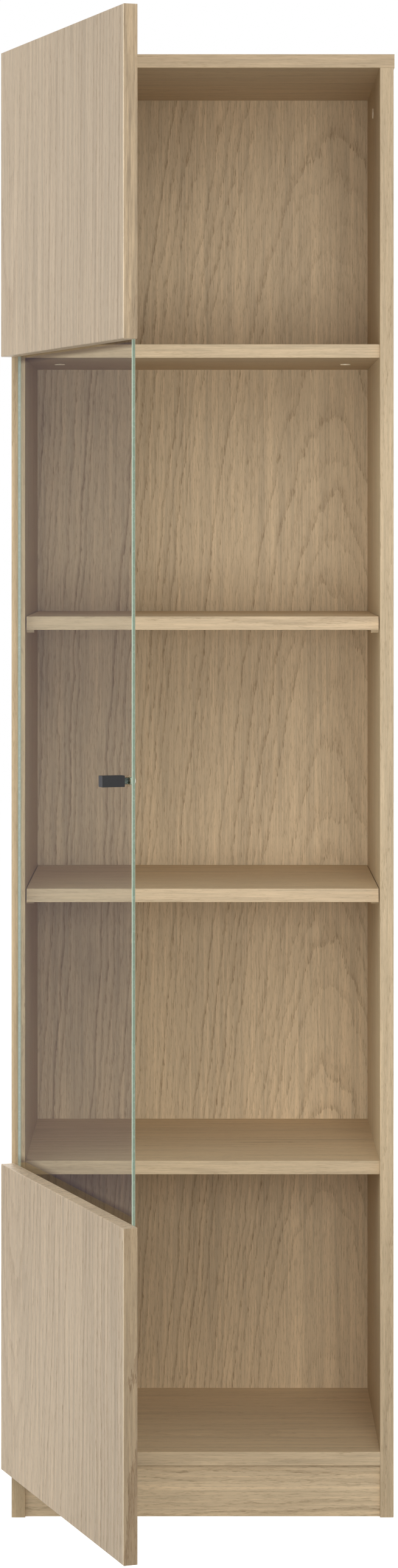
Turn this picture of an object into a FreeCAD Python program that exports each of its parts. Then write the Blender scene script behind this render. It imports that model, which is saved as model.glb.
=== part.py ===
import FreeCAD, Part
import os

# Tall narrow bookcase of oak-veneered board. One door on the left: two wooden panels carry a glass pane
# between them. Millimetres, +Z up, the door stands open as it is stored.
# The origin is on the floor, in the middle of the plinth's underside. The front looks towards -Y.

Vector = FreeCAD.Vector
RIGHT = Vector(1, 0, 0)
BACKWARDS = Vector(0, 1, 0)
UP = Vector(0, 0, 1)
LEFT = RIGHT * -1
FORWARDS = BACKWARDS * -1
DOWN = UP * -1

# Carcass boards
carcass_width = 450.0
carcass_depth = 340.0
board = 16.0
plinth_height = 61.0
plinth_setback = 5.0
end_opening = 325.0
middle_opening = 305.4
top_overhang = 1.0
shelf_setback = 12.0
loose_shelf_end_gap = 1.0
loose_shelf_back_gap = 2.0
edge_rounding = 0.5

# Back panel, let into rebates
back_thickness = 3.0
back_rebate = 8.0
back_play = 0.5

# Cam fittings: a bolt in one board, a cam in the other, a cover over the cam
cam_from_front = 179.0
cam_reach = 34.0
cam_radius = 6.0
cam_floor = 3.5
cam_sink = 1.0
cam_slot_radius = 3.5
bolt_floor = 5.0
bolt_thread_radius = 2.5
bolt_shank_radius = 3.0
bolt_neck_radius = 2.0
bolt_neck_length = 6.0
bolt_head_length = 3.0
cover_radius = 6.3
cover_rise = 1.2
cover_rounding = 0.9
cover_plug_play = 0.2

# Dowels
dowel_radius = 4.0
dowel_floor = 6.0
dowel_reach = 20.0
dowel_end_play = 0.5
dowel_rounding = 1.0
dowel_from_cam = 110.0
plinth_dowel_shares = (0.3, 0.7)

# Nails of the back panel
nail_radius = 0.7
nail_head_radius = 1.6
nail_head_thickness = 0.6
nail_length = 20.0
nail_pitch = 150.0
nail_row_shares = (0.2, 0.5, 0.8)

# Pins under the loose shelves
pin_from_front = 40.0
pin_from_back = 40.0
pin_radius = 2.5
pin_bite = 8.0
pin_drop = 2.5
lug_radius = 4.2
lug_length = 9.0

# Door panels
door_board = 16.0
door_side_gap = 2.0
door_drop = 2.2
door_gap = 2.0
door_edge_rounding = 1.2
door_open_angle = 70.0

# Glass pane behind the door panels, and what holds it
glass_thickness = 4.0
glass_hinge_clearance = 1.5
glass_free_clearance = 4.0
glass_overlap = 40.0
glass_arris = 0.6
glass_hole_radius = 4.0
glass_screw_share = 0.5
glass_screw_shares = (0.1, 0.5, 0.9)
sleeve_flange_radius = 7.0
sleeve_flange_thickness = 1.5
sleeve_play = 0.2
glass_screw_radius = 2.0
glass_screw_bite = 11.0
pan_head_radius = 4.0
pan_head_thickness = 2.6
pan_head_rounding_share = 0.4

# Hinges
hinge_length = 50.0
hinge_from_end = 70.0
hinge_spacing = 160.0
barrel_radius = 3.0
barrel_clearance = 0.3
barrel_room = 0.5
pivot_outset = 0.5
hinge_pin_radius = 1.5
hinge_pin_play = 0.05
middle_knuckle = 19.4
knuckle_gap = 0.3
wrap_clearance = 0.5
flange_reach = 28.0
door_leaf_thickness = 1.5
door_leaf_reach = 28.0
hinge_screw_from_pivot = 17.0
hinge_screw_spacing = 30.0

# Countersunk screws of the hinges, and the cross recess of every screw
screw_radius = 1.75
screw_head_radius = 3.2
screw_length = 12.0
screw_tip = 4.0
screw_point_radius = 0.2
recess_reach = 1.9
recess_width = 0.8
recess_depth = 0.8

# Knob
knob_side = 12.2
knob_length = 26.0
knob_rounding = 0.6
knob_from_glass_edge = 10.0
knob_height_share = 0.5012
knob_neck_radius = 3.7
knob_neck_length = 5.5
knob_washer_radius = 6.0
knob_washer_thickness = 1.0
knob_screw_bite = 12.0
knob_screw_head = 1.5

# Soft buffers on the back of the door
buffer_radius = 3.0
buffer_from_opening = 4.0
buffer_clearance = 0.3
buffer_from_end = 30.0

# Shared by all cuts and searches
overrun = 1.0
same_place = 0.001

# Places that follow from the sizes
half_width = carcass_width / 2
inner_half = half_width - board
side_middle = half_width - board / 2
front_y = -plinth_setback - board / 2
back_y = front_y + carcass_depth
back_face_y = back_y - back_thickness
cam_y = front_y + cam_from_front

bottom_low = plinth_height
bottom_high = bottom_low + board
fixed_low = bottom_high + end_opening
loose_low = fixed_low + board + middle_opening
loose_high = loose_low + board + middle_opening
fixed_high = loose_high + board + middle_opening
top_low = fixed_high + board + end_opening
carcass_height = top_low + board

door_left = -half_width + door_side_gap
door_right = half_width - door_side_gap
door_back_y = front_y - door_gap
door_front_y = door_back_y - door_board
lower_panel_low = bottom_low - door_drop
lower_panel_high = fixed_low + board
upper_panel_low = fixed_high
upper_panel_high = carcass_height

glass_left = -inner_half + glass_hinge_clearance
glass_right = inner_half - glass_free_clearance
glass_low = lower_panel_high - glass_overlap
glass_high = upper_panel_low + glass_overlap
glass_back_y = door_back_y + glass_thickness

pivot_x = door_left - pivot_outset
pivot_y = front_y - barrel_radius - barrel_clearance
pivot = Vector(pivot_x, pivot_y, 0)
wrap_thickness = door_gap - wrap_clearance
buffer_thickness = door_gap - buffer_clearance
hinge_levels = (
    lower_panel_low + hinge_from_end,
    lower_panel_low + hinge_from_end + hinge_spacing,
    upper_panel_high - hinge_from_end - hinge_spacing,
    upper_panel_high - hinge_from_end,
)


def block(x_low, x_high, y_low, y_high, z_low, z_high):
    """A box between two corners."""
    corner = Vector(x_low, y_low, z_low)
    return Part.makeBox(x_high - x_low, y_high - y_low, z_high - z_low, corner)


def rod(radius, start, direction, length):
    """A round bar from a point along a direction."""
    return Part.makeCylinder(radius, length, start, direction)


def taper(near_radius, far_radius, start, direction, length):
    """A cone frustum from a point along a direction."""
    return Part.makeCone(near_radius, far_radius, length, start, direction)


def joined(solids):
    """Several touching solids as one, with no seams left between their faces."""
    return solids[0].multiFuse(solids[1:]).removeSplitter()


def without(shape, tools):
    """A shape with every tool cut out of it."""
    return shape.cut(Part.makeCompound(tools))


def eased(shape, radius, chosen):
    """A shape with the chosen edges rounded."""
    return shape.makeFillet(radius, [edge for edge in shape.Edges if chosen(edge)])


def lies_on(edge, axis, place):
    """True where every end of an edge has the same place along one axis."""
    return all(abs(getattr(vertex.Point, axis) - place) < same_place for vertex in edge.Vertexes)


def is_upright(edge):
    """True for an edge that runs up and down."""
    along = edge.Vertexes[-1].Point - edge.Vertexes[0].Point
    return abs(along.x) < same_place and abs(along.y) < same_place


def front_long_edge(edge, place):
    """True for the horizontal edges of a board's front face."""
    return lies_on(edge, "y", place) and not is_upright(edge)


def front_upright_edge(edge, place):
    """True for the upright edges of a board's front face."""
    return lies_on(edge, "y", place) and is_upright(edge)


def set_in(solids, origin, along, facing):
    """Solids drawn about the origin along +X and facing +Z, moved to a place in the carcass."""
    turn = FreeCAD.Rotation(along, facing.cross(along), facing, "XZY")
    place = FreeCAD.Placement(origin, turn)
    return [solid.transformed(place.toMatrix()) for solid in solids]


def cross_recess(centre, inward, across):
    """The two crossed slots of a screw head, sunk from its face."""
    other = inward.cross(across)
    slots = []
    for long_way, short_way in ((across, other), (other, across)):
        corner = centre - long_way * recess_reach - short_way * (recess_width / 2)
        profile = [corner, corner + long_way * recess_reach * 2]
        profile += [profile[1] + short_way * recess_width, corner + short_way * recess_width]
        face = Part.Face(Part.makePolygon(profile + [corner]))
        slots.append(face.extrude(inward * recess_depth))
    return slots


def countersunk_screw(head, inward, across):
    """A countersunk wood screw, plain for cutting its own seat, and with its recess."""
    head_depth = screw_head_radius - screw_radius
    shank_length = screw_length - head_depth - screw_tip
    tip_start = head + inward * (screw_length - screw_tip)
    plain = joined([
        taper(screw_head_radius, screw_radius, head, inward, head_depth),
        rod(screw_radius, head + inward * head_depth, inward, shank_length),
        taper(screw_radius, screw_point_radius, tip_start, inward, screw_tip),
    ])
    return plain, without(plain, cross_recess(head, inward, across))


def pan_head_screw(seat, inward, across, length, head_thickness):
    """A pan-head screw whose head rests on a seat, plain and with its recess."""
    top = seat - inward * head_thickness
    head = rod(pan_head_radius, top, inward, head_thickness)
    rounding = head_thickness * pan_head_rounding_share
    head = eased(head, rounding, lambda edge: (edge.CenterOfMass - top).Length < same_place)
    plain = joined([head, rod(glass_screw_radius, seat, inward, length)])
    return plain, without(plain, cross_recess(top, inward, across))


# Cam fitting about the point where two boards meet: the bolt's thread goes back into the first board,
# its shank along +X into the second, whose face with the cam looks to +Z.
def cam_fitting():
    """The bolt, the cam and its cover, and the cuts that they need in the two boards."""
    bolt_bite = board - bolt_floor
    neck_start = cam_reach - bolt_neck_length - bolt_head_length / 2
    head_start = neck_start + bolt_neck_length
    thread = rod(bolt_thread_radius, LEFT * bolt_bite, RIGHT, bolt_bite)
    bolt = joined([
        thread,
        rod(bolt_shank_radius, Vector(), RIGHT, neck_start),
        rod(bolt_neck_radius, RIGHT * neck_start, RIGHT, bolt_neck_length),
        rod(bolt_shank_radius, RIGHT * head_start, RIGHT, bolt_head_length),
    ])
    face_height = board / 2
    cam_base = Vector(cam_reach, 0, cam_floor - face_height)
    cam_height = board - cam_floor - cam_sink
    channel_length = head_start + bolt_head_length + bolt_neck_radius
    channel = rod(cam_slot_radius, Vector(), RIGHT, channel_length)
    cam = rod(cam_radius, cam_base, UP, cam_height)
    cam = cam.cut(channel)
    driver_slot = cross_recess(cam_base + UP * cam_height, DOWN, RIGHT)
    cam = without(cam, driver_slot)
    plug = rod(cam_radius - cover_plug_play, Vector(cam_reach, 0, face_height - cam_sink), UP, cam_sink)
    cover_top = Vector(cam_reach, 0, face_height + cover_rise)
    cover = rod(cover_radius, cover_top, DOWN, cover_rise)
    cover = eased(cover, cover_rounding, lambda edge: (edge.CenterOfMass - cover_top).Length < same_place)
    cam_bore = rod(cam_radius, cam_base, UP, board - cam_floor + overrun)
    shank_bore = rod(cam_slot_radius, Vector(), RIGHT, cam_reach)
    return bolt, cam, joined([plug, cover]), thread, cam_bore.fuse(shank_bore)


def dowel_fitting():
    """A dowel across a joint, and the hole for it through both boards."""
    bite = board - dowel_floor
    dowel = rod(dowel_radius, LEFT * bite, RIGHT, bite + dowel_reach)
    dowel = eased(dowel, dowel_rounding, lambda edge: edge.Curve.TypeId == "Part::GeomCircle")
    hole_start = LEFT * (bite + dowel_end_play)
    hole = rod(dowel_radius, hole_start, RIGHT, bite + dowel_reach + dowel_end_play * 2)
    return dowel, hole


fittings = {"cam_bolts": [], "cam_locks": [], "cam_covers": [], "dowels": []}
cuts = {}


def cut_from(name, tools):
    """Keeps cutting tools for a board until the board is made."""
    cuts.setdefault(name, []).extend(tools)


def join_boards(holder, cam_board, origin, along, facing):
    """One cam in the middle of a joint and a dowel on each side of it."""
    bolt, cam, cover, thread, cam_cuts = set_in(cam_fitting(), origin, along, facing)
    fittings["cam_bolts"].append(bolt)
    fittings["cam_locks"].append(cam)
    fittings["cam_covers"].append(cover)
    cut_from(holder, [thread])
    cut_from(cam_board, [cam_cuts])
    for offset in (-dowel_from_cam, dowel_from_cam):
        dowel_joint(holder, cam_board, origin + BACKWARDS * offset, along, facing)


def dowel_joint(holder, other, origin, along, facing):
    """One dowel between two boards."""
    dowel, hole = set_in(dowel_fitting(), origin, along, facing)
    fittings["dowels"].append(dowel)
    cut_from(holder, [hole])
    cut_from(other, [hole])


side_names = {-1: "side_left", 1: "side_right"}
level_boards = {
    "bottom_panel": bottom_low,
    "fixed_shelf_lower": fixed_low,
    "fixed_shelf_upper": fixed_high,
}

# Cam and dowel joints of the carcass
for hand, side in side_names.items():
    inwards = LEFT * hand
    top_joint = Vector(hand * side_middle, cam_y, top_low)
    join_boards("top_panel", side, top_joint, DOWN, inwards)
    for name, level in level_boards.items():
        shelf_joint = Vector(hand * inner_half, cam_y, level + board / 2)
        join_boards(side, name, shelf_joint, inwards, DOWN)
    for share in plinth_dowel_shares:
        plinth_joint = Vector(hand * inner_half, 0, plinth_height * share)
        dowel_joint(side, "plinth", plinth_joint, inwards, DOWN)


def back_nails():
    """The nails along the sides and into the level boards, driven in from behind."""
    places = []
    side_x = inner_half + back_rebate / 2
    rows = round((top_low - bottom_low) / nail_pitch)
    step = (top_low - bottom_low) / rows
    for hand, side in side_names.items():
        for row in range(rows):
            places.append((side, Vector(hand * side_x, back_y, bottom_low + step * (row + 1 / 2))))
    for name, level in level_boards.items():
        for share in nail_row_shares:
            x = (share * 2 - 1) * inner_half
            places.append((name, Vector(x, back_y, level + board / 2)))
    nails = []
    for name, place in places:
        nail = joined([
            rod(nail_head_radius, place, FORWARDS, nail_head_thickness),
            rod(nail_radius, place, FORWARDS, nail_length),
        ])
        nails.append(nail)
        cut_from(name, [nail])
        cut_from("back_panel", [nail])
    return nails


def shelf_pins(shelf_low):
    """Four pins with half-round lugs that a loose shelf lies on."""
    pins = []
    for hand, side in side_names.items():
        for y in (front_y + pin_from_front, back_face_y - pin_from_back):
            wall = Vector(hand * inner_half, y, shelf_low)
            outwards = RIGHT * hand
            shank = rod(pin_radius, wall + DOWN * pin_drop, outwards, pin_bite)
            lug = rod(lug_radius, wall, outwards * -1, lug_length)
            upper_half = block(
                wall.x - lug_length - overrun,
                wall.x + lug_length + overrun,
                y - lug_radius - overrun,
                y + lug_radius + overrun,
                shelf_low,
                shelf_low + lug_radius + overrun,
            )
            pins.append(joined([lug.cut(upper_half), shank]))
            cut_from(side, [shank])
    return pins


def hinge_barrel(radius, z_low, length):
    """A round bar on the door's axis."""
    return rod(radius, Vector(pivot_x, pivot_y, z_low), UP, length)


def hinge(level):
    """One wrap-round hinge: carcass leaf, door leaf, pin, and the screws of each leaf, door closed."""
    low = level - hinge_length / 2
    high = low + hinge_length
    end_knuckle = (hinge_length - middle_knuckle) / 2 - knuckle_gap
    middle_low = level - middle_knuckle / 2
    room = barrel_radius + barrel_room

    web = block(pivot_x, -inner_half + wrap_thickness, front_y - wrap_thickness, front_y, low, high)
    flange = block(
        -inner_half, -inner_half + wrap_thickness, front_y - wrap_thickness, front_y + flange_reach, low, high
    )
    bracket = joined([web, flange])
    bracket = bracket.cut(hinge_barrel(room, low + end_knuckle, hinge_length - end_knuckle * 2))
    ends = [hinge_barrel(barrel_radius, z, end_knuckle) for z in (low, high - end_knuckle)]
    pin = hinge_barrel(hinge_pin_radius, low, hinge_length)
    carcass_leaf = joined([bracket] + ends).cut(pin)

    plate = block(
        pivot_x, pivot_x + door_leaf_reach, door_back_y - door_leaf_thickness, door_back_y, low, high
    )
    end_rooms = [
        hinge_barrel(room, low - overrun, end_knuckle + knuckle_gap + overrun),
        hinge_barrel(room, high - end_knuckle - knuckle_gap, end_knuckle + knuckle_gap + overrun),
    ]
    knuckle = hinge_barrel(barrel_radius, middle_low, middle_knuckle)
    door_leaf = joined([without(plate, end_rooms), knuckle])
    door_leaf = door_leaf.cut(hinge_barrel(hinge_pin_radius + hinge_pin_play, low, hinge_length))

    carcass_screws = []
    door_screws = []
    for offset in (-hinge_screw_spacing / 2, hinge_screw_spacing / 2):
        flange_seat = Vector(-inner_half + wrap_thickness, front_y + hinge_screw_from_pivot, level + offset)
        door_seat = Vector(pivot_x + hinge_screw_from_pivot, door_back_y, level + offset)
        carcass_screws.append(countersunk_screw(flange_seat, LEFT, UP))
        door_screws.append(countersunk_screw(door_seat, FORWARDS, UP))
    carcass_leaf = without(carcass_leaf, [plain for plain, _ in carcass_screws])
    door_leaf = without(door_leaf, [plain for plain, _ in door_screws])
    return carcass_leaf, door_leaf, pin, carcass_screws, door_screws


def hinge_seat(level):
    """What a hinge takes out of the door panel: the leaf's recess and room for the barrel."""
    low = level - hinge_length / 2
    recess = block(
        door_left - overrun, pivot_x + door_leaf_reach,
        door_back_y - door_leaf_thickness, door_back_y + overrun,
        low, low + hinge_length,
    )
    barrel_groove = hinge_barrel(barrel_radius + barrel_room, low, hinge_length)
    return [recess, barrel_groove]


carcass = {}
door = {}

# Hinges, with their screws' holes in the side and the door
carcass_hinge_screws = []
door_hinge_screws = []
hinge_pins = []
for number, level in enumerate(hinge_levels, start=1):
    carcass_leaf, door_leaf, pin, carcass_screws, door_screws = hinge(level)
    carcass[f"hinge_carcass_leaf_{number}"] = carcass_leaf
    door[f"hinge_door_leaf_{number}"] = door_leaf
    hinge_pins.append(pin)
    carcass_hinge_screws += [screw for _, screw in carcass_screws]
    door_hinge_screws += [screw for _, screw in door_screws]
    panel = "door_panel_lower" if level < lower_panel_high else "door_panel_upper"
    cut_from("side_left", [plain for plain, _ in carcass_screws])
    cut_from(panel, [plain for plain, _ in door_screws] + hinge_seat(level))
carcass["hinge_pins"] = Part.makeCompound(hinge_pins)
carcass["hinge_carcass_screws"] = Part.makeCompound(carcass_hinge_screws)
door["hinge_door_screws"] = Part.makeCompound(door_hinge_screws)

# Nails, shelf pins and fittings, before the boards that they go into
carcass["back_nails"] = Part.makeCompound(back_nails())
carcass["shelf_pins_lower"] = Part.makeCompound(shelf_pins(loose_low))
carcass["shelf_pins_upper"] = Part.makeCompound(shelf_pins(loose_high))
for name, solids in fittings.items():
    carcass[name] = Part.makeCompound(solids)


def side_board(hand):
    """A side from the floor to the top panel, rebated for the back."""
    x_low, x_high = sorted((hand * inner_half, hand * half_width))
    shape = block(x_low, x_high, front_y, back_y, 0, top_low)
    shape = eased(shape, edge_rounding, lambda edge: front_upright_edge(edge, front_y))
    rebate_low, rebate_high = sorted((hand * (inner_half - overrun), hand * (inner_half + back_rebate)))
    rebate = block(rebate_low, rebate_high, back_face_y, back_y + overrun, -overrun, top_low + overrun)
    return shape.cut(rebate)


def top_board():
    """The top panel lies on both sides and is rebated for the back."""
    reach = half_width + top_overhang
    shape = block(-reach, reach, front_y, back_y, top_low, carcass_height)
    shape = eased(shape, edge_rounding, lambda edge: lies_on(edge, "y", front_y))
    rebate_reach = inner_half + back_rebate
    rebate_high = top_low + back_rebate
    rebate = block(-rebate_reach, rebate_reach, back_face_y, back_y + overrun, top_low - overrun, rebate_high)
    return shape.cut(rebate)


def level_board(level, setback, end_gap, back_gap):
    """A board between the sides, its front edge eased."""
    reach = inner_half - end_gap
    shape = block(-reach, reach, front_y + setback, back_face_y - back_gap, level, level + board)
    return eased(shape, edge_rounding, lambda edge: front_long_edge(edge, front_y + setback))


def plinth_board():
    """The upright board under the bottom panel."""
    plinth_front_y = front_y + plinth_setback
    shape = block(-inner_half, inner_half, plinth_front_y, plinth_front_y + board, 0, plinth_height)
    return eased(shape, edge_rounding, lambda edge: front_long_edge(edge, plinth_front_y))


def back_board():
    """The thin back, in the rebates of the sides and the top panel."""
    reach = inner_half + back_rebate - back_play
    back_high = top_low + back_rebate - back_play
    return block(-reach, reach, back_face_y, back_y, bottom_low, back_high)


for hand, side in side_names.items():
    carcass[side] = side_board(hand)
carcass["top_panel"] = top_board()
carcass["bottom_panel"] = level_board(bottom_low, 0, 0, 0)
for place, fixed_level, loose_level in (("lower", fixed_low, loose_low), ("upper", fixed_high, loose_high)):
    fixed = level_board(fixed_level, shelf_setback, 0, 0)
    loose = level_board(loose_level, shelf_setback, loose_shelf_end_gap, loose_shelf_back_gap)
    carcass[f"fixed_shelf_{place}"] = fixed
    carcass[f"loose_shelf_{place}"] = loose
carcass["plinth"] = plinth_board()
carcass["back_panel"] = back_board()


def door_panel(low, high):
    """A wooden panel of the door, all edges of its outer face rounded."""
    shape = block(door_left, door_right, door_front_y, door_back_y, low, high)
    return eased(shape, door_edge_rounding, lambda edge: lies_on(edge, "y", door_front_y))


door["door_panel_lower"] = door_panel(lower_panel_low, lower_panel_high)
door["door_panel_upper"] = door_panel(upper_panel_low, upper_panel_high)

# Glass pane with its upright edges ground, held by screws in plastic sleeves
glass = block(glass_left, glass_right, door_back_y, glass_back_y, glass_low, glass_high)
glass = glass.makeChamfer(glass_arris, [edge for edge in glass.Edges if is_upright(edge)])

glass_sleeves = []
glass_screws = []
screw_levels = {
    "door_panel_lower": lower_panel_high - glass_overlap * glass_screw_share,
    "door_panel_upper": upper_panel_low + glass_overlap * glass_screw_share,
}
for panel, level in screw_levels.items():
    for share in glass_screw_shares:
        place = Vector(glass_left + (glass_right - glass_left) * share, glass_back_y, level)
        seat = place + BACKWARDS * sleeve_flange_thickness
        length = sleeve_flange_thickness + glass_thickness + glass_screw_bite
        plain, screw = pan_head_screw(seat, FORWARDS, UP, length, pan_head_thickness)
        collar = rod(glass_hole_radius - sleeve_play, place, FORWARDS, glass_thickness - sleeve_play)
        flange = rod(sleeve_flange_radius, seat, FORWARDS, sleeve_flange_thickness)
        glass_sleeves.append(joined([flange, collar]).cut(plain))
        glass_screws.append(screw)
        cut_from("glass_pane", [rod(glass_hole_radius, place, FORWARDS, glass_thickness)])
        cut_from(panel, [plain])
door["glass_sleeves"] = Part.makeCompound(glass_sleeves)
door["glass_screws"] = Part.makeCompound(glass_screws)

# Square knob on a round neck, screwed through the glass
knob_x = glass_right - knob_from_glass_edge
knob_z = lower_panel_low + (upper_panel_high - lower_panel_low) * knob_height_share
knob_outer = Vector(knob_x, door_back_y, knob_z)
knob_inner = Vector(knob_x, glass_back_y, knob_z)
neck_base = knob_outer + FORWARDS * knob_washer_thickness
body_base = neck_base + FORWARDS * knob_neck_length
screw_seat = knob_inner + BACKWARDS * knob_washer_thickness
screw_run = knob_washer_thickness * 2 + glass_thickness + knob_neck_length + knob_screw_bite
knob_plain, knob_screw = pan_head_screw(screw_seat, FORWARDS, UP, screw_run, knob_screw_head)
knob_body = block(
    knob_x - knob_side / 2, knob_x + knob_side / 2,
    body_base.y - knob_length, body_base.y,
    knob_z - knob_side / 2, knob_z + knob_side / 2,
)
knob_body = knob_body.makeFillet(knob_rounding, knob_body.Edges)
door["knob_body"] = knob_body.cut(knob_plain)
door["knob_neck"] = rod(knob_neck_radius, neck_base, FORWARDS, knob_neck_length).cut(knob_plain)
for place, face, direction in (("outer", knob_outer, FORWARDS), ("inner", knob_inner, BACKWARDS)):
    washer = rod(knob_washer_radius, face, direction, knob_washer_thickness)
    door[f"knob_washer_{place}"] = washer.cut(knob_plain)
door["knob_screw"] = knob_screw
cut_from("glass_pane", [rod(glass_hole_radius, knob_inner, FORWARDS, glass_thickness)])
door["glass_pane"] = glass

# Buffers opposite the right side's front edge
buffers = []
for level in (
    lower_panel_low + buffer_from_end,
    lower_panel_high - buffer_from_end,
    upper_panel_low + buffer_from_end,
    upper_panel_high - buffer_from_end,
):
    buffer_base = Vector(inner_half + buffer_from_opening, door_back_y, level)
    buffer = rod(buffer_radius, buffer_base, BACKWARDS, buffer_thickness)
    top_rim = door_back_y + buffer_thickness
    buffers.append(eased(buffer, buffer_thickness / 2, lambda edge: lies_on(edge, "y", top_rim)))
door["door_buffers"] = Part.makeCompound(buffers)

# Holes and recesses, then the door turned open about its pins
for pieces in (carcass, door):
    for name in pieces:
        if name in cuts:
            pieces[name] = without(pieces[name], cuts[name])
for name in door:
    door[name].rotate(pivot, UP, -door_open_angle)

os.makedirs("parts", exist_ok=True)
for name, shape in {**carcass, **door}.items():
    shape.exportStep(f"parts/{name}.step")
    print(f"{name}: {len(shape.Solids)} solids, {shape.Volume:.1f} mm3, valid {shape.isValid()}")
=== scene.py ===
"""A tall oak bookcase with one glass door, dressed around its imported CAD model."""

import math

import bpy
from mathutils import Matrix, Vector


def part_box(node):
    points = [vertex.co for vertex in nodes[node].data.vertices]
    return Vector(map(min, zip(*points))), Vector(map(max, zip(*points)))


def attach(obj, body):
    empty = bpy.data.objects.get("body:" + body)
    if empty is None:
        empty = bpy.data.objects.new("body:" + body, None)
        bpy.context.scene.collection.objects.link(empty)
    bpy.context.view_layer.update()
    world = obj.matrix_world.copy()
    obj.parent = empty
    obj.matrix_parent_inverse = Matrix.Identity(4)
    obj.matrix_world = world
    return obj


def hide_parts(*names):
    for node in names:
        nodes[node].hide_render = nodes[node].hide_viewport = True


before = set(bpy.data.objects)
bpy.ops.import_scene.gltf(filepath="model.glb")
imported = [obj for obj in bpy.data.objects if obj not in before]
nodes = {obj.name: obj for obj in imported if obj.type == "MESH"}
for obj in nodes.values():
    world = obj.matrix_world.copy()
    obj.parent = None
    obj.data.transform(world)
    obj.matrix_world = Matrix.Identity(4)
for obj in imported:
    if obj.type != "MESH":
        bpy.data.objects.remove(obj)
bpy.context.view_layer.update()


# Camera: square to the front, a little above the upper loose shelf, with the whole height brought
# into the frame by the lens shift, so the sides stay upright.
CAMERA_PLACE = (-0.00067, -4.483, 1.1555)
CAMERA_LENS = 87.15
CAMERA_SENSOR = 36.0
CAMERA_SHIFT = (-0.00194, -0.158)
CAMERA_REACH = (0.1, 100.0)
LEVEL_VIEW = (math.radians(90.0), 0.0, 0.0)

camera_data = bpy.data.cameras.new("photo_camera")
camera_data.sensor_width = CAMERA_SENSOR
camera_data.lens = CAMERA_LENS
camera_data.shift_x, camera_data.shift_y = CAMERA_SHIFT
camera_data.clip_start, camera_data.clip_end = CAMERA_REACH
camera = bpy.data.objects.new("photo_camera", camera_data)
camera.location = CAMERA_PLACE
camera.rotation_euler = LEVEL_VIEW
bpy.context.scene.collection.objects.link(camera)
bpy.context.scene.camera = camera


def linear(colour):
    """The linear colour of an sRGB hex value such as C8B090."""
    shares = [int(colour[i : i + 2], 16) / 255 for i in (0, 2, 4)]
    return [s / 12.92 if s <= 0.04045 else ((s + 0.055) / 1.055) ** 2.4 for s in shares] + [1.0]


def metres(millimetres):
    """A length in Blender's own unit."""
    return millimetres / 1000


def per(millimetres):
    """How often a mark of this size repeats in a metre."""
    return 1000.0 / millimetres


def add(tree, kind, inputs=(), stops=(), **settings):
    """Adds a node, with its settings, its ramp's stops, and a value or a link for each input."""
    made = tree.nodes.new("ShaderNode" + kind)
    for name, value in settings.items():
        setattr(made, name, value)
    for i, (place, colour) in enumerate(stops):
        stop = made.color_ramp.elements[i] if i < 2 else made.color_ramp.elements.new(place)
        stop.position = place
        stop.color = colour
    for name, value in dict(inputs).items():
        if isinstance(value, bpy.types.NodeSocket):
            tree.links.new(value, made.inputs[name])
        else:
            made.inputs[name].default_value = value
    return made


def empty_material(name):
    """A material with no nodes yet."""
    made = bpy.data.materials.new(name)
    made.use_nodes = True
    made.node_tree.nodes.clear()
    return made


# Inputs of Blender's Mix node for two colours, and its colour output.
MIX_FROM, MIX_TO, MIX_OUT = 6, 7, 2

# Marks in the oak: width and length in millimetres, then the detail and roughness of their noise.
# Real fibres and pores are a third of a millimetre wide: they are drawn coarser, so that they show.
OAK_MARKS = {
    "sway": (220, 650, 2.0, 0.5),
    "swell": (900, 1300, 1.0, 0.5),
    "waver": (26, 70, 2.0, 0.5),
    "streaks": (9, 420, 3.0, 0.6),
    "fibres": (2.4, 110, 3.0, 0.7),
    "dashes": (1.1, 11, 2.0, 0.6),
}
STRIP_MARK = (4, 80, 3.0, 0.6)
# How far apart in the noise two boards are cut, so that no two look the same.
SEED_STEPS = (3.7, 1.9, 5.3)
# The part of the noise that counts, from its low to its high values.
SWELL_SPAN = (0.28, 0.72)
STRIP_SPAN = (0.3, 0.7)
DASH_SPAN = (0.52, 0.66)
STREAK_SPAN = (0.8, 1.6)
# Rings, in millimetres: how softly two leaves meet, where the rings turn from flat to steep, how
# far their lines waver, how long a spell of slow or fast growth lasts and how far it shifts them.
LEAVES_MEET = 20
FLAT_TO_STEEP = (60, 300)
RING_WAVER = 12
GROWTH_SPELL = 40
GROWTH_SHIFT = 8
# From the heart outwards: how dark the lines are, how light the wood is, how much the lines lean.
LINES_FLAT_STEEP = (0.58, 1.35)
WOOD_FLAT_STEEP = (1.06, 0.92)
LEAN_FLAT_STEEP = (1.0, 0.4)
# Shares of a ring: how ragged its start is, and where its early wood begins and ends.
RAGGED_START = 0.35
EARLY_WOOD = (0.02, 0.6)
# Pores fill up as the early wood does, and the late wood has some of them.
FULL_ROWS = 0.7
LATE_PORES = 0.4
# How much early wood, streaks, slow sways and pores change the tone.
EARLY_SHADE = 0.6
STREAK_LIGHT = 0.24
SWAY_LIGHT = 0.4
PORE_SHADE = 0.55
# Matt lacquer: its sheen on the wood and in the pores, the pores' depth in millimetres.
LACQUER_ROUGHNESS = (0.56, 0.72)
LACQUER_IOR = 1.5
PORE_RELIEF = 0.25
PORE_DEPTH = 0.2


def drawn_out(tree, grain, start, width, length, detail, coarse):
    """Noise drawn out along the grain, with marks of this width and length in millimetres."""
    stretched = add(
        tree,
        "Mapping",
        {"Vector": grain, "Scale": (per(width), per(width), per(length)), "Location": start},
    )
    return add(
        tree,
        "TexNoise",
        {
            "Vector": stretched.outputs["Vector"],
            "Scale": 1.0,
            "Detail": detail,
            "Roughness": coarse,
        },
    ).outputs["Fac"]


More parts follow.
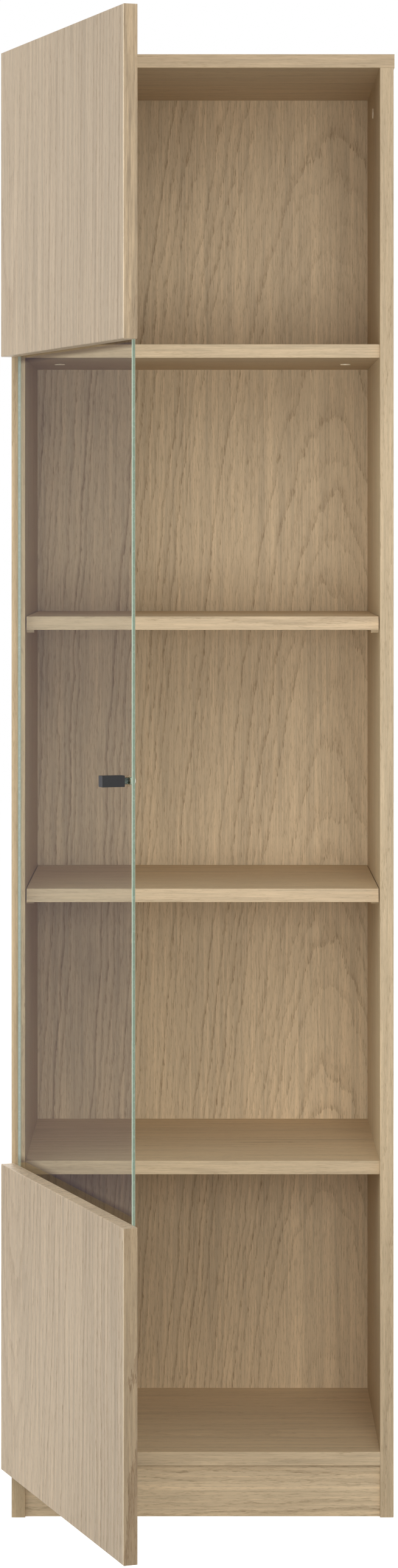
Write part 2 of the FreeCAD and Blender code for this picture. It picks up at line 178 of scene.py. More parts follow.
def oak_growth(tree, apart, marks, hearts, depth, taper, wander):
    """How far out of the stem each point grew, in metres. Its slant against the face, which the
    stem's taper and the swelling of the leaf give, makes the arches. Also how dark the rings' lines
    and how light the wood are, because the rings stand steeper away from the heart."""
    aside = add(
        tree,
        "Math",
        {0: marks["sway"], 1: metres(wander), 2: apart.outputs["X"]},
        operation="MULTIPLY_ADD",
    ).outputs["Value"]
    sunk = add(
        tree,
        "MapRange",
        {
            "Value": marks["swell"],
            "From Min": SWELL_SPAN[0],
            "From Max": SWELL_SPAN[1],
            "To Min": metres(depth[0]),
            "To Max": metres(depth[1]),
        },
    ).outputs["Result"]
    below = add(tree, "Math", {0: apart.outputs["Y"], 1: sunk}, operation="ADD").outputs["Value"]
    age = None
    for heart in hearts:
        beside = add(tree, "Math", {0: aside, 1: metres(heart)}, operation="SUBTRACT")
        spot = add(tree, "CombineXYZ", {"X": beside.outputs["Value"], "Y": below})
        reach = add(tree, "VectorMath", {0: spot.outputs["Vector"]}, operation="LENGTH")
        reach = reach.outputs["Value"]
        if age is None:
            age = reach
        else:
            age = add(
                tree, "Math", {0: age, 1: reach, 2: metres(LEAVES_MEET)}, operation="SMOOTH_MIN"
            ).outputs["Value"]
    lines, paler, lean = (
        add(
            tree,
            "MapRange",
            {
                "Value": age,
                "From Min": metres(FLAT_TO_STEEP[0]),
                "From Max": metres(FLAT_TO_STEEP[1]),
                "To Min": flat,
                "To Max": steep,
            },
        ).outputs["Result"]
        for flat, steep in (
            LINES_FLAT_STEEP,
            WOOD_FLAT_STEEP,
            (taper * LEAN_FLAT_STEEP[0], taper * LEAN_FLAT_STEEP[1]),
        )
    )
    age = add(
        tree, "Math", {0: apart.outputs["Z"], 1: lean, 2: age}, operation="MULTIPLY_ADD"
    ).outputs["Value"]
    # Rings are never quite round: their lines waver.
    age = add(
        tree, "Math", {0: marks["waver"], 1: metres(RING_WAVER), 2: age}, operation="MULTIPLY_ADD"
    ).outputs["Value"]
    # Years of slow and fast growth: the rings lie closer or wider.
    pace = add(
        tree,
        "TexNoise",
        {"W": age, "Scale": per(GROWTH_SPELL), "Detail": 1.0},
        noise_dimensions="1D",
    ).outputs["Fac"]
    age = add(
        tree, "Math", {0: pace, 1: metres(GROWTH_SHIFT), 2: age}, operation="MULTIPLY_ADD"
    ).outputs["Value"]
    return age, lines, paler


def early_wood(tree, age, dashes, lines, ring):
    """Where the early wood lies: strong at the ragged start of each ring, gone before the next,
    and darker in some years than in others."""
    ragged = add(tree, "Math", {0: dashes, 1: RAGGED_START}, operation="MULTIPLY").outputs["Value"]
    count = add(
        tree, "Math", {0: age, 1: per(ring), 2: ragged}, operation="MULTIPLY_ADD"
    ).outputs["Value"]
    since = add(tree, "Math", {0: count}, operation="FRACT").outputs["Value"]
    year = add(tree, "Math", {0: count}, operation="FLOOR").outputs["Value"]
    year = add(tree, "TexWhiteNoise", {"W": year}, noise_dimensions="1D").outputs["Value"]
    early = add(
        tree,
        "MapRange",
        {
            "Value": since,
            "From Min": EARLY_WOOD[0],
            "From Max": EARLY_WOOD[1],
            "To Min": 1.0,
            "To Max": 0.0,
        },
        interpolation_type="SMOOTHSTEP",
    ).outputs["Result"]
    early = add(tree, "Math", {0: early, 1: year}, operation="MULTIPLY").outputs["Value"]
    return add(tree, "Math", {0: early, 1: lines}, operation="MULTIPLY").outputs["Value"]


def edge_strip(tree, wood, across, mark, reach, tint, streaks, corner=None, highlight_tone=None):
    """The strip of oak glued on a board's long edges, which starts this far from the board's
    middle, in a tone and with streaks of its own. On the door a pale line along its rounded
    corner is a painted highlight, where the arris catches the light."""
    out = add(tree, "Math", {0: across}, operation="ABSOLUTE").outputs["Value"]
    streaked = add(
        tree,
        "MapRange",
        {
            "Value": mark,
            "From Min": STRIP_SPAN[0],
            "From Max": STRIP_SPAN[1],
            "To Min": streaks[0],
            "To Max": streaks[1],
        },
    ).outputs["Result"]
    tone = add(tree, "HueSaturation", {"Color": linear(tint), "Value": streaked}).outputs["Color"]
    glued = add(
        tree,
        "Mix",
        {"Factor": 1.0, MIX_FROM: wood, MIX_TO: tone},
        data_type="RGBA",
        blend_type="MULTIPLY",
    ).outputs[MIX_OUT]
    # The pale line on the door's rounded corner is a painted highlight.
    if corner:
        near = add(tree, "Math", {0: out, 1: metres(corner)}, operation="GREATER_THAN")
        wood = add(
            tree,
            "Mix",
            {"Factor": near.outputs["Value"], MIX_FROM: wood, MIX_TO: linear(highlight_tone)},
            data_type="RGBA",
        ).outputs[MIX_OUT]
    end = add(tree, "Math", {0: out, 1: metres(reach)}, operation="GREATER_THAN")
    return add(
        tree,
        "Mix",
        {"Factor": end.outputs["Value"], MIX_FROM: wood, MIX_TO: glued},
        data_type="RGBA",
    ).outputs[MIX_OUT]


def oak(
    name, board, axes, seed, hearts, depth, ring, taper, wander, tones, strength, strip=None
):
    """Oak veneer, flat sliced, smoothed by sanding and matt lacquered. Growth rings cut at a slant
    show as long lines that close into arches over the heart of each leaf. Each ring starts with a
    dark row of open pores, which look like short dashes along the grain, and pales towards the
    next. Fine fibres streak it all from end to end. The lacquer leaves a soft sheen that the pores
    break.
    Lengths are in millimetres; taper is how fast the stem thins along the grain."""
    made = empty_material(name)
    tree = made.node_tree
    axes = Matrix(axes)
    low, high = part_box(board)
    start = tuple(seed * step for step in SEED_STEPS)
    place = add(tree, "TexCoord").outputs["Object"]
    grain = add(
        tree,
        "Mapping",
        {"Vector": place, "Rotation": axes.to_euler(), "Location": -(axes @ ((low + high) / 2))},
    ).outputs["Vector"]
    apart = add(tree, "SeparateXYZ", {"Vector": grain})
    marks = {mark: drawn_out(tree, grain, start, *size) for mark, size in OAK_MARKS.items()}
    age, lines, paler = oak_growth(tree, apart, marks, hearts, depth, taper, wander)
    early = early_wood(tree, age, marks["dashes"], lines, ring)

    # Pores: dashes that thicken in the early wood.
    pores = add(
        tree,
        "MapRange",
        {
            "Value": marks["dashes"],
            "From Min": DASH_SPAN[0],
            "From Max": DASH_SPAN[1],
            "To Min": 0.0,
            "To Max": 1.0,
        },
    ).outputs["Result"]
    rows = add(
        tree,
        "MapRange",
        {
            "Value": early,
            "From Min": 0.0,
            "From Max": FULL_ROWS,
            "To Min": LATE_PORES,
            "To Max": 1.0,
        },
    ).outputs["Result"]
    pores = add(tree, "Math", {0: pores, 1: rows}, operation="MULTIPLY").outputs["Value"]

    # Colour: late wood darkened by the early wood, streaked by the fibres, pricked by the pores.
    early_tone, late_tone, pore_tone = (linear(tone) for tone in tones)
    shade = add(
        tree, "Math", {0: early, 1: EARLY_SHADE * strength}, operation="MULTIPLY"
    ).outputs["Value"]
    wood = add(
        tree,
        "Mix",
        {"Factor": shade, MIX_FROM: late_tone, MIX_TO: early_tone},
        data_type="RGBA",
    ).outputs[MIX_OUT]
    light = add(tree, "Math", {0: marks["streaks"], 1: marks["fibres"]}, operation="ADD")
    light = add(
        tree,
        "Math",
        {0: marks["sway"], 1: SWAY_LIGHT, 2: light.outputs["Value"]},
        operation="MULTIPLY_ADD",
    )
    light = add(
        tree,
        "MapRange",
        {
            "Value": light.outputs["Value"],
            "From Min": STREAK_SPAN[0],
            "From Max": STREAK_SPAN[1],
            "To Min": 1.0 - STREAK_LIGHT * strength,
            "To Max": 1.0 + STREAK_LIGHT * strength,
        },
    ).outputs["Result"]
    light = add(tree, "Math", {0: light, 1: paler}, operation="MULTIPLY").outputs["Value"]
    wood = add(tree, "HueSaturation", {"Color": wood, "Value": light}).outputs["Color"]
    deep = add(
        tree, "Math", {0: pores, 1: PORE_SHADE * strength}, operation="MULTIPLY"
    ).outputs["Value"]
    wood = add(
        tree,
        "Mix",
        {"Factor": deep, MIX_FROM: wood, MIX_TO: pore_tone},
        data_type="RGBA",
    ).outputs[MIX_OUT]
    if strip:
        mark = drawn_out(tree, grain, start, *STRIP_MARK)
        wood = edge_strip(tree, wood, apart.outputs["X"], mark, **strip)

    rough = add(
        tree,
        "MapRange",
        {
            "Value": pores,
            "From Min": 0.0,
            "From Max": 1.0,
            "To Min": LACQUER_ROUGHNESS[0],
            "To Max": LACQUER_ROUGHNESS[1],
        },
    ).outputs["Result"]
    bump = add(
        tree,
        "Bump",
        {"Height": pores, "Strength": PORE_RELIEF, "Distance": metres(PORE_DEPTH)},
        invert=True,
    ).outputs["Normal"]
    surface = add(
        tree,
        "BsdfPrincipled",
        {"Base Color": wood, "Roughness": rough, "Normal": bump, "IOR": LACQUER_IOR},
    )
    add(tree, "OutputMaterial", {"Surface": surface.outputs["BSDF"]})
    return made


# A mottle: the detail and roughness of its noise, where it passes from its dark to its light tone,
# the part of it that roughens the surface, and how much of its depth shows.
MOTTLE_DETAIL = 3.0
MOTTLE_COARSE = 0.6
MOTTLE_TONES = (0.35, 0.65)
MOTTLE_SPAN = (0.3, 0.7)
MOTTLE_RELIEF = 0.2
# Depths of a mottle in millimetres: on a moulded or coated surface, and on a smooth one.
MOULDED_DEPTH = 0.1
SMOOTH_DEPTH = 0.004


def even_finish(
    name, dark, light, size, rough, metallic=0.0, ior=1.5, depth=MOULDED_DEPTH, clear=0.0
):
    """A moulded or plated finish: two close tones in a fine mottle of this size in millimetres,
    with the roughness and a slight relief from the same mottle. Most real ones are finer than a
    millimetre and are drawn coarser, so that they show."""
    made = empty_material(name)
    tree = made.node_tree
    place = add(tree, "TexCoord").outputs["Object"]
    mottle = add(
        tree,
        "TexNoise",
        {
            "Vector": place,
            "Scale": per(size),
            "Detail": MOTTLE_DETAIL,
            "Roughness": MOTTLE_COARSE,
        },
    ).outputs["Fac"]
    colour = add(
        tree,
        "ValToRGB",
        {"Fac": mottle},
        stops=[(MOTTLE_TONES[0], linear(dark)), (MOTTLE_TONES[1], linear(light))],
    ).outputs["Color"]
    uneven = add(
        tree,
        "MapRange",
        {
            "Value": mottle,
            "From Min": MOTTLE_SPAN[0],
            "From Max": MOTTLE_SPAN[1],
            "To Min": rough[0],
            "To Max": rough[1],
        },
    ).outputs["Result"]
    bump = add(
        tree, "Bump", {"Height": mottle, "Strength": MOTTLE_RELIEF, "Distance": metres(depth)}
    ).outputs["Normal"]
    surface = add(
        tree,
        "BsdfPrincipled",
        {
            "Base Color": colour,
            "Roughness": uneven,
            "Metallic": metallic,
            "IOR": ior,
            "Transmission Weight": clear,
            "Normal": bump,
        },
    )
    add(tree, "OutputMaterial", {"Surface": surface.outputs["BSDF"]})
    return made


# Float glass: its tint where it is clear and along the wooden panels, and what it lets through to
# light what is behind. The ripple and the dimmed bands along the panels are in millimetres.
GLASS_CLEAR = "F6F8F5"
GLASS_DIMMED = "B7AF9E"
GLASS_PASSES = "F8FAF9"
GLASS_RIPPLE = 140
GLASS_RIPPLE_RELIEF = 0.05
GLASS_RIPPLE_DEPTH = 0.1
GLASS_BANDS = (
    (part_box("door_panel_lower")[1].z, 14),
    (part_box("door_panel_upper")[0].z, 9),
)
# Thin glass bends no light that passes, so only its mirror image has the index of real glass.
THIN_IOR = 1.0
MIRROR_IOR = 1.5
MIRROR_ROUGHNESS = 0.02
OUTSIDE_MIRROR = 0.5


def float_glass(name, mirror):
    """Clear float glass, thin for its size: what is behind it stays in its place, a soft mirror
    image lies over its outer face, and lamps shine through to what is behind. Along the wooden
    panels it dims to brown, as the photo shows."""
    made = empty_material(name)
    tree = made.node_tree
    place = add(tree, "TexCoord").outputs["Object"]
    ripple = add(tree, "TexNoise", {"Vector": place, "Scale": per(GLASS_RIPPLE), "Detail": 1.0})
    bump = add(
        tree,
        "Bump",
        {
            "Height": ripple.outputs["Fac"],
            "Strength": GLASS_RIPPLE_RELIEF,
            "Distance": metres(GLASS_RIPPLE_DEPTH),
        },
    ).outputs["Normal"]
    height = add(tree, "SeparateXYZ", {"Vector": place}).outputs["Z"]
    clearness = None
    for edge, width in GLASS_BANDS:
        away = add(tree, "Math", {0: height, 1: edge}, operation="SUBTRACT").outputs["Value"]
        away = add(tree, "Math", {0: away}, operation="ABSOLUTE").outputs["Value"]
        away = add(
            tree,
            "MapRange",
            {"Value": away, "From Min": metres(width / 2), "From Max": metres(width)},
        ).outputs["Result"]
        if clearness is None:
            clearness = away
        else:
            clearness = add(
                tree, "Math", {0: clearness, 1: away}, operation="MINIMUM"
            ).outputs["Value"]
    tint = add(
        tree,
        "Mix",
        {"Factor": clearness, MIX_FROM: linear(GLASS_DIMMED), MIX_TO: linear(GLASS_CLEAR)},
        data_type="RGBA",
    ).outputs[MIX_OUT]
    glass = add(
        tree,
        "BsdfPrincipled",
        {
            "Base Color": tint,
            "Roughness": 0.0,
            "IOR": THIN_IOR,
            "Transmission Weight": 1.0,
            "Coat Weight": mirror,
            "Coat Roughness": MIRROR_ROUGHNESS,
            "Coat IOR": MIRROR_IOR,
            "Coat Normal": bump,
        },
    )
    clear = add(tree, "BsdfTransparent", {"Color": linear(GLASS_PASSES)})
    path = add(tree, "LightPath").outputs
    passing = add(
        tree,
        "Math",
        {0: path["Is Shadow Ray"], 1: path["Is Diffuse Ray"]},
        operation="MAXIMUM",
    )
    mixed = add(
        tree,
        "MixShader",
        {0: passing.outputs["Value"], 1: glass.outputs["BSDF"], 2: clear.outputs["BSDF"]},
    )
    add(tree, "OutputMaterial", {"Surface": mixed.outputs["Shader"]})
    return made


def finish_with(material, *names):
    """Puts a material on CAD nodes."""
    for name in names:
        nodes[name].data.materials.clear()
        nodes[name].data.materials.append(material)


# Each board's own axes, as rows: across the grain, through the thickness, along the grain.
BACK_AXES = ((1, 0, 0), (0, 1, 0), (0, 0, 1))
SIDE_AXES = ((0, 1, 0), (-1, 0, 0), (0, 0, 1))
LEVEL_AXES = ((0, 1, 0), (0, 0, 1), (1, 0, 0))
PLINTH_AXES = ((0, 0, 1), (0, -1, 0), (1, 0, 0))
DOOR_OPEN = math.radians(70.0)
DOOR_AXES = Matrix.Rotation(DOOR_OPEN, 3, "Z")

# Tones of early wood, late wood and pores. The plinth differs a little, and the door is greyer.
# The top, the upper fixed shelf and the sides have darker copies of the body's oak: painted shade
# for the undersides of the top and the upper fixed shelf and for the sides' inner walls.
BODY_OAK = ("A9906E", "D0B996", "7E6443")
SHADED_TOP_OAK = ("A18A69", "C7B18F", "786040")
SHADED_UPPER_SHELF_OAK = ("9C8566", "C0AB8B", "755C3E")
SHADED_SIDE_OAK = ("9B8565", "C0AB8A", "745C3E")
PLINTH_OAK = ("A88E69", "DCC49F", "7E6340")
DOOR_UPPER_OAK = ("BBA387", "D6C2A6", "927658")
DOOR_LOWER_OAK = ("B49C7F", "D1BC9F", "8D7253")

# Edge strips: where they start from the board's middle, in millimetres, their tint, how dark and
# light their streaks are, and on the door where the painted highlight along the rounded corner
# starts and its tone.
LEFT_SIDE_STRIP = {"reach": 169.4, "tint": "FFFBF4", "streaks": (0.9, 1.1)}
RIGHT_SIDE_STRIP = {"reach": 169.4, "tint": "FFFEFE", "streaks": (0.97, 1.19)}
TOP_STRIP = {"reach": 169.4, "tint": "F3F0EF", "streaks": (0.87, 1.13)}
BOTTOM_STRIP = {"reach": 167.9, "tint": "FFFFFF", "streaks": (0.87, 1.13)}
# The upper fixed shelf's streaks are raised to undo the painted shade of its darker oak on its
# front edge.
UPPER_SHELF_STRIP = {"reach": 161.9, "tint": "FBFAF9", "streaks": (1.03, 1.34)}
LOWER_SHELF_STRIP = {"reach": 161.9, "tint": "F0EEEC", "streaks": (0.87, 1.13)}
LOOSE_SHELF_STRIP = {"reach": 160.9, "tint": "F9F6F5", "streaks": (0.87, 1.13)}
# The pale tone along the door's rounded corner is a painted highlight where the arris catches the
# light.
DOOR_STRIP_AND_HIGHLIGHT = {"reach": 222.7, "corner": 222.0, "highlight_tone": "F6E6CB"}
DOOR_UPPER_STRIP = {**DOOR_STRIP_AND_HIGHLIGHT, "tint": "DAD3C7", "streaks": (0.68, 1.32)}
DOOR_LOWER_STRIP = {**DOOR_STRIP_AND_HIGHLIGHT, "tint": "D7D1C5", "streaks": (0.84, 1.16)}

# What the sides, the level boards and the door's panels have in common: how deep the hearts lie
# under the face and how wide a ring is, in millimetres, the stem's taper, how far the lines wander,
# in millimetres, and how strong the grain is.
SIDE_LEAF = {
    "axes": SIDE_AXES,
    "depth": (10, 90),
    "ring": 9,
    "taper": 0.02,
    "wander": 20,
    "tones": SHADED_SIDE_OAK,
    "strength": 0.8,
}
LEVEL_LEAF = {
    "axes": LEVEL_AXES,
    "depth": (10, 90),
    "ring": 9,
    "taper": 0.02,
    "wander": 14,
    "tones": BODY_OAK,
    "strength": 0.6,
}
DOOR_LEAF = {"axes": DOOR_AXES, "depth": (40, 90), "ring": 11, "wander": 30}

# Each board's leaves: a seed of its own, and how far their hearts lie from its middle.
BOARDS = {
    "side_left": {**SIDE_LEAF, "seed": 1, "hearts": (-80, 90), "strip": LEFT_SIDE_STRIP},
    "side_right": {**SIDE_LEAF, "seed": 2, "hearts": (-110, 60), "strip": RIGHT_SIDE_STRIP},
    "back_panel": {
        "axes": BACK_AXES,
        "seed": 3,
        "hearts": (172,),
        "depth": (55, 100),
        "ring": 8,
        "taper": 0.15,
        "wander": 24,
        "tones": BODY_OAK,
        "strength": 1.1,
    },
    "top_panel": {
        **LEVEL_LEAF,
        "seed": 4,
        "hearts": (-90, 80),
        "tones": SHADED_TOP_OAK,
        "strip": TOP_STRIP,
    },
    "bottom_panel": {**LEVEL_LEAF, "seed": 5, "hearts": (-60, 110), "strip": BOTTOM_STRIP},
    "plinth": {
        "axes": PLINTH_AXES,
        "seed": 6,
        "hearts": (4,),
        "depth": (2, 40),
        "ring": 7,
        "taper": 0.04,
        "wander": 14,
        "tones": PLINTH_OAK,
        "strength": 1.05,
    },
    "fixed_shelf_lower": {
        **LEVEL_LEAF,
        "seed": 7,
        "hearts": (-100, 70),
        "strip": LOWER_SHELF_STRIP,
    },
    "fixed_shelf_upper": {
        **LEVEL_LEAF,
        "seed": 8,
        "hearts": (-70, 100),
        "tones": SHADED_UPPER_SHELF_OAK,
        "strip": UPPER_SHELF_STRIP,
    },
    "loose_shelf_lower": {
        **LEVEL_LEAF,
        "seed": 9,
        "hearts": (-90, 60),
        "strip": LOOSE_SHELF_STRIP,
    },
    "loose_shelf_upper": {
        **LEVEL_LEAF,
        "seed": 10,
        "hearts": (-60, 90),
        "strip": LOOSE_SHELF_STRIP,
    },
    "door_panel_lower": {
        **DOOR_LEAF,
        "seed": 11,
        "hearts": (-150,),
        "taper": -0.12,
        "tones": DOOR_LOWER_OAK,
        "strength": 1.1,
        "strip": DOOR_LOWER_STRIP,
    },
    "door_panel_upper": {
        **DOOR_LEAF,
        "seed": 12,
        "hearts": (-170,),
        "taper": -0.04,
        "tones": DOOR_UPPER_OAK,
        "strength": 0.9,
        "strip": DOOR_UPPER_STRIP,
    },
}
for board, leaf in BOARDS.items():
    finish_with(oak("oak_veneer_" + board, board, **leaf), board)

# Bare beech, turned and fluted: close even grain, matt.
finish_with(even_finish("turned_beech", "C9A577", "D8B98E", size=2.0, rough=(0.6, 0.75)), "dowels")
# Zinc-plated steel: bluish grey with a fine crystalline mottle, half bright.
finish_with(
    even_finish(
        "zinc_plated_steel",
        "A2A7AC",
        "B6BBC0",
        size=2.5,
        rough=(0.34, 0.44),
        metallic=1.0,
        depth=SMOOTH_DEPTH,
    ),
    "cam_bolts",
    "cam_locks",
    "back_nails",
)
# Nickel-plated steel: warm bright grey, smooth.
HINGE_LEAVES = [f"hinge_{side}_leaf_{i}" for side in ("carcass", "door") for i in (1, 2, 3, 4)]
finish_with(
    even_finish(
        "nickel_plated_steel",
        "D0CDC5",
        "DAD7D0",
        size=6.0,
        rough=(0.34, 0.42),
        metallic=1.0,
        depth=SMOOTH_DEPTH,
    ),
    "hinge_pins",
    "hinge_carcass_screws",
    "hinge_door_screws",
    "glass_screws",
    "knob_screw",
    *HINGE_LEAVES,
)
# Moulded polypropylene in a wood tone: even, slightly waxy.
finish_with(
    even_finish("beige_polypropylene", "D2BB98", "DCC8A8", size=2.5, rough=(0.42, 0.52)),
    "shelf_pins_lower",
    "shelf_pins_upper",
)
# The covers' polypropylene: cream and smoother, so the rounded rims catch the light.
finish_with(
    even_finish("cream_polypropylene", "F0E2C8", "F8EEDA", size=2.5, rough=(0.26, 0.34)),
    "cam_covers",
)
# Soft clear vinyl: faintly cream, glossy, and so thin that what is behind it shows through.
finish_with(
    even_finish(
        "clear_vinyl",
        "E2DACB",
        "EAE3D7",
        size=3.0,
        rough=(0.0, 0.04),
        ior=1.03,
        clear=1.0,
        depth=SMOOTH_DEPTH,
    ),
    "glass_sleeves",
    "door_buffers",
    "knob_washer_outer",
    "knob_washer_inner",
)
# Black nickel on the turned neck: a polished dark mirror.
finish_with(
    even_finish(
        "black_nickel_plate",
        "4A524C",
        "565E58",
        size=4.0,
        rough=(0.1, 0.16),
        metallic=1.0,
        depth=SMOOTH_DEPTH,
    ),
    "knob_neck",
)

# The door's own directions, as it stands open.
DOOR_OUTWARDS = DOOR_AXES.inverted() @ Vector((0.0, -1.0, 0.0))
DOOR_INWARDS = -DOOR_OUTWARDS
DOOR_TO_HINGES = DOOR_AXES.inverted() @ Vector((-1.0, 0.0, 0.0))

# The knob's paler end, a painted highlight where the light falls on it: its tone, and how far
# from the end, in millimetres, it starts and is full.
PAINTED_LIT_END_TONE = "52504D"
PAINTED_LIT_END_STARTS = 0.5
PAINTED_LIT_END_FULL = 0.1


def knob_coat():
    """Anthracite powder coat on die-cast metal: near black, dull, with a fine orange peel. Its end
    is painted paler, a painted highlight where the light falls on it."""
    made = even_finish(
        "anthracite_powder_coat_painted_lit_end", "1B1B1C", "252526", size=0.8, rough=(0.45, 0.55), ior=1.35
    )
    tree = made.node_tree
    end = max(corner.co.dot(DOOR_OUTWARDS) for corner in nodes["knob_body"].data.vertices)
    place = add(tree, "TexCoord").outputs["Object"]
    along = add(tree, "VectorMath", {0: place, 1: DOOR_OUTWARDS}, operation="DOT_PRODUCT")
    # A painted highlight: the coat turns paler towards its end.
    lit_end = add(
        tree,
        "MapRange",
        {
            "Value": along.outputs["Value"],
            "From Min": end - metres(PAINTED_LIT_END_STARTS),
            "From Max": end - metres(PAINTED_LIT_END_FULL),
            "To Min": 0.0,
            "To Max": 1.0,
        },
    ).outputs["Result"]
    surface = tree.nodes["Principled BSDF"]
    coat = surface.inputs["Base Color"].links[0].from_socket
    lit_coat = add(
        tree,
        "Mix",
        {"Factor": lit_end, MIX_FROM: coat, MIX_TO: linear(PAINTED_LIT_END_TONE)},
        data_type="RGBA",
    ).outputs[MIX_OUT]
    tree.links.new(lit_coat, surface.inputs["Base Color"])
    return made


finish_with(knob_coat(), "knob_body")

# Places of the finishes on the pane, and how far its faces and its arrises are turned to the front
# or the back, as the cosine of the angle.
OUTSIDE, INSIDE, CUT_EDGE, LIT_EDGE, OUTER_ARRIS, INNER_ARRIS = range(6)
FACE_TURN = 0.95
ARRIS_TURN = 0.2
HINGE_EDGE_TURN = 0.5
MERGE_WITHIN = 0.00001


def door_glass():
    """The pane, with its cut edges and their ground arrises as finishes of their own."""
    pane = bpy.data.objects.new("door_glass", nodes["glass_pane"].data.copy())
    bpy.context.scene.collection.objects.link(pane)
    pane.data.materials.clear()
    for material in (
        float_glass("float_glass_outside", OUTSIDE_MIRROR),
        float_glass("float_glass_inside", 0.0),
        # The cut edge of float glass: the green of a long way through the pane, half bright.
        even_finish("cut_glass_edge", "80937F", "8B9C89", size=4.0, rough=(0.2, 0.3)),
        # The same edge at the hinges, where it has the pane's whole width behind it and is paler.
        even_finish("lit_glass_edge", "BCC3B2", "C6CCBC", size=4.0, rough=(0.2, 0.3)),
        # Ground glass: the narrow arris is matt. Outside it is pale, partly the frosted white of
        # ground glass and partly a painted highlight where the light falls on it; inside it is
        # painted the brown of the wood, a painted reflection.
        even_finish("ground_glass_arris", "BECCB8", "C8D5C2", size=1.0, rough=(0.5, 0.6)),
        even_finish("ground_glass_arris_inside", "969475", "9E9C7D", size=1.0, rough=(0.5, 0.6)),
    ):
        pane.data.materials.append(material)
    bpy.ops.object.select_all(action="DESELECT")
    pane.select_set(True)
    bpy.context.view_layer.objects.active = pane
    bpy.ops.mesh.customdata_custom_splitnormals_clear()
    bpy.ops.object.mode_set(mode="EDIT")
    bpy.ops.mesh.select_all(action="SELECT")
    bpy.ops.mesh.remove_doubles(threshold=MERGE_WITHIN)
    bpy.ops.object.mode_set(mode="OBJECT")
    bpy.ops.object.shade_flat()
    for face in pane.data.polygons:
        turned = face.normal.dot(DOOR_INWARDS)
        if abs(turned) > FACE_TURN:
            face.material_index = OUTSIDE if turned < 0.0 else INSIDE
        elif abs(turned) > ARRIS_TURN:
            face.material_index = OUTER_ARRIS if turned < 0.0 else INNER_ARRIS
        elif face.normal.dot(DOOR_TO_HINGES) > HINGE_EDGE_TURN:
            face.material_index = LIT_EDGE
        else:
            face.material_index = CUT_EDGE
    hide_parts("glass_pane")
    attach(pane, "door")


door_glass()

# The studio: white where the camera, a mirror image or the glass shows it, and a plain pale grey
# where it only throws light back at the bookcase.
STUDIO_WHITE = "FFFFFF"
FLOOR_GREY = "8C8C8C"
FLOOR_SIZE = 24.0
FLOOR_GLOW = 0.65
BACKGROUND_GLOW = 1.0
FILL_LIGHT = 0.35


def shown(tree):
    """1 where the camera sees a surface, directly, mirrored or through glass, and else 0."""
    path = add(tree, "LightPath").outputs
    direct = add(
        tree, "Math", {0: path["Is Camera Ray"], 1: path["Is Glossy Ray"]}, operation="MAXIMUM"
    ).outputs["Value"]
    return add(
        tree, "Math", {0: direct, 1: path["Is Transmission Ray"]}, operation="MAXIMUM"
    ).outputs["Value"]


floor_material = empty_material("studio_floor")
tree = floor_material.node_tree
seen = shown(tree)
paint = add(
    tree,
    "Mix",
    {"Factor": seen, MIX_FROM: linear(FLOOR_GREY), MIX_TO: linear(STUDIO_WHITE)},
    data_type="RGBA",
).outputs[MIX_OUT]
pale = add(tree, "BsdfDiffuse", {"Color": paint})
glow = add(tree, "Math", {0: seen, 1: FLOOR_GLOW}, operation="MULTIPLY").outputs["Value"]
white = add(tree, "Emission", {"Color": linear(STUDIO_WHITE), "Strength": glow})
both = add(tree, "AddShader", {0: pale.outputs["BSDF"], 1: white.outputs["Emission"]})
add(tree, "OutputMaterial", {"Surface": both.outputs["Shader"]})
bpy.ops.object.select_all(action="DESELECT")
bpy.ops.mesh.primitive_plane_add(size=FLOOR_SIZE, location=(0.0, 0.0, 0.0))
floor = bpy.context.object
floor.name = "studio_floor"
floor.data.materials.append(floor_material)

world = bpy.data.worlds.new("studio_white")
bpy.context.scene.world = world
world.use_nodes = True
tree = world.node_tree
tree.nodes.clear()
fill = add(tree, "Background", {"Color": linear(STUDIO_WHITE), "Strength": FILL_LIGHT})
white = add(tree, "Background", {"Color": linear(STUDIO_WHITE), "Strength": BACKGROUND_GLOW})
mixed = add(
    tree,
    "MixShader",
    {0: shown(tree), 1: fill.outputs["Background"], 2: white.outputs["Background"]},
)
add(tree, "OutputWorld", {"Surface": mixed.outputs["Shader"]})

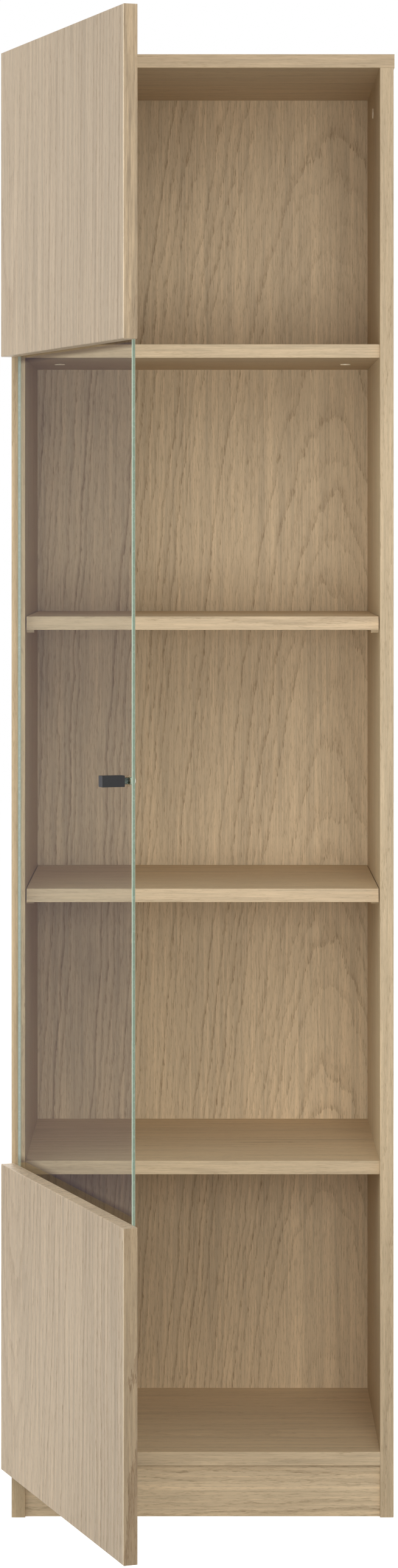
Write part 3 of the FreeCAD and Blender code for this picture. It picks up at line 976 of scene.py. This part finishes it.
# Softboxes: two in front, two on the left, a weak one above, and two behind, which light only the
# back and the right side.
LAMPS = {
    # name: place, what it faces, width, height, watts
    "front_softbox": ((0.1, -2.6, 0.9), (0.0, 0.0, 0.9), 1.2, 0.8, 20.3),
    "front_high_softbox": ((0.3, -2.6, 2.2), (0.0, 0.0, 1.0), 1.2, 1.2, 14.3),
    "left_softbox": ((-2.4, -1.0, 1.2), (-0.1, -0.1, 1.0), 1.6, 2.0, 21.3),
    "far_left_softbox": ((-2.2, -3.4, 1.3), (0.0, 0.0, 1.0), 1.6, 1.6, 16.4),
    "top_softbox": ((-0.1, -1.2, 3.0), (0.0, 0.0, 0.9), 1.4, 1.4, 6.6),
    "rear_softbox": ((-0.5, 3.0, 1.4), (0.0, 0.3, 0.9), 1.8, 1.8, 38.0),
    "rear_right_softbox": ((2.6, 0.9, 1.3), (0.2, 0.15, 0.9), 1.4, 1.8, 25.0),
}
for name, (place, target, width, height, watts) in LAMPS.items():
    lamp_data = bpy.data.lights.new(name, "AREA")
    lamp_data.shape = "RECTANGLE"
    lamp_data.size = width
    lamp_data.size_y = height
    lamp_data.energy = watts
    lamp = bpy.data.objects.new(name, lamp_data)
    lamp.location = place
    lamp.rotation_euler = (Vector(target) - Vector(place)).to_track_quat("-Z", "Y").to_euler()
    lamp.visible_camera = False
    bpy.context.scene.collection.objects.link(lamp)

# A flag behind and to the left, which glows a dim blue-grey though it is no lamp. It shows only
# in mirror images, where its glow lies on the pane as a painted reflection and keeps the pane from
# turning white.
FLAG_TONE = "4F679A"
FLAG_PLACE = (-1.45, 1.15, 1.1)
FLAG_SIZE = (2.0, 3.4, 1.0)
FLAG_TURN = (math.radians(90.0), 0.0, math.radians(40.0))

flag_material = empty_material("glowing_flag")
tree = flag_material.node_tree
flag_glow = add(tree, "Emission", {"Color": linear(FLAG_TONE), "Strength": 1.0})
add(tree, "OutputMaterial", {"Surface": flag_glow.outputs["Emission"]})
bpy.ops.object.select_all(action="DESELECT")
bpy.ops.mesh.primitive_plane_add(size=1.0, location=FLAG_PLACE)
flag = bpy.context.object
flag.name = "dark_flag"
flag.scale = FLAG_SIZE
flag.rotation_euler = FLAG_TURN
flag.data.materials.append(flag_material)
flag.visible_camera = False
flag.visible_diffuse = False
flag.visible_transmission = False
flag.visible_shadow = False

scene = bpy.context.scene
scene.view_settings.view_transform = "Standard"
